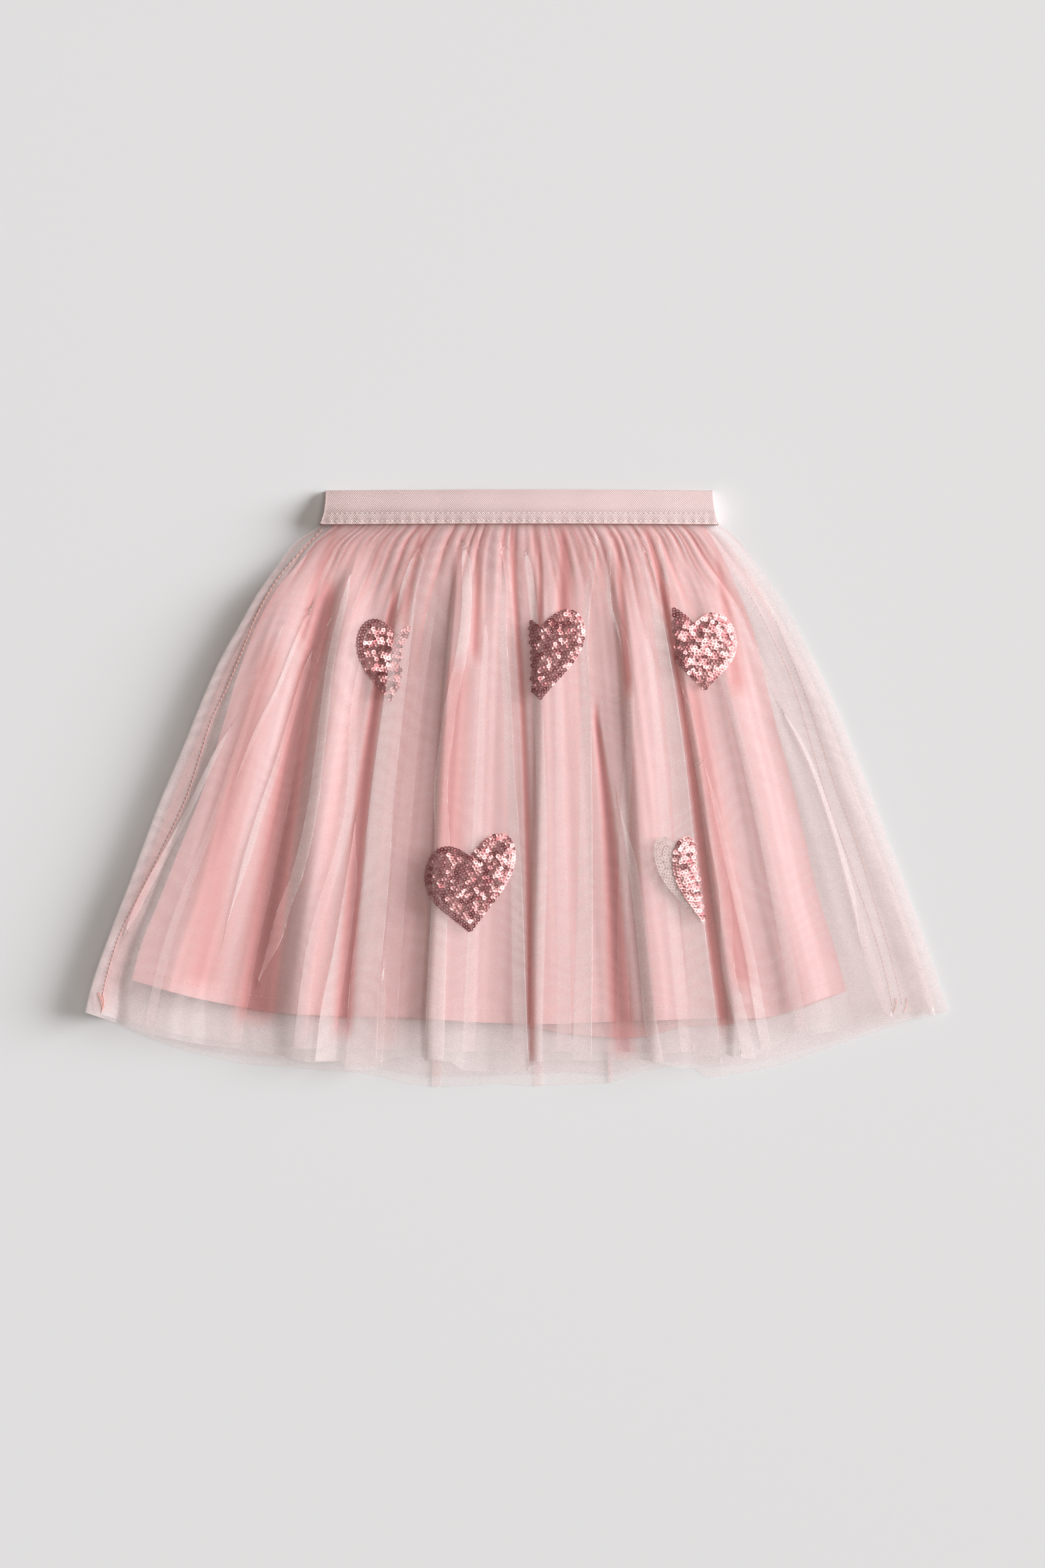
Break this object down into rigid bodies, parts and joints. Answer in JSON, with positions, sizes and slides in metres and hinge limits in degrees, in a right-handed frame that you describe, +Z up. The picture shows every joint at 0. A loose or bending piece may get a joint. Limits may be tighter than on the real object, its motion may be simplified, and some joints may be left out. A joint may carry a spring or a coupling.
{
  "type": "tulle skirt",
  "caption": "Child's gathered tulle skirt laid flat, with a woven elastic waistband, layered net over an opaque lining and sequin hearts on the front.",
  "frame": {"origin": "under the middle of the skirt's flat outline, on the surface that it lies on", "axes": "+X across the front to the viewer's right, +Y along the skirt from its hem to its waistband, +Z up off the surface"},
  "size_m": [0.5342, 0.365, 0.0167],
  "materials": {
    "elastic": "woven satin elastic",
    "outer_tulle": "sheer soft net",
    "inner_tulle": "sheer soft net",
    "lining": "smooth woven lining with a low sheen",
    "sequins": "metallic rose sequins sewn on net"
  },
  "bodies": {
    "root": {"waistband_front": "elastic", "waistband_back": "elastic", "outer_tulle_front": "outer_tulle", "outer_tulle_back": "outer_tulle", "inner_tulle_front": "inner_tulle", "inner_tulle_back": "inner_tulle", "lining_front": "lining", "lining_back": "lining", "heart_upper_left": "sequins", "heart_upper_middle": "sequins", "heart_upper_right": "sequins", "heart_lower_left": "sequins", "heart_lower_right": "sequins"}
  },
  "joints": []
}
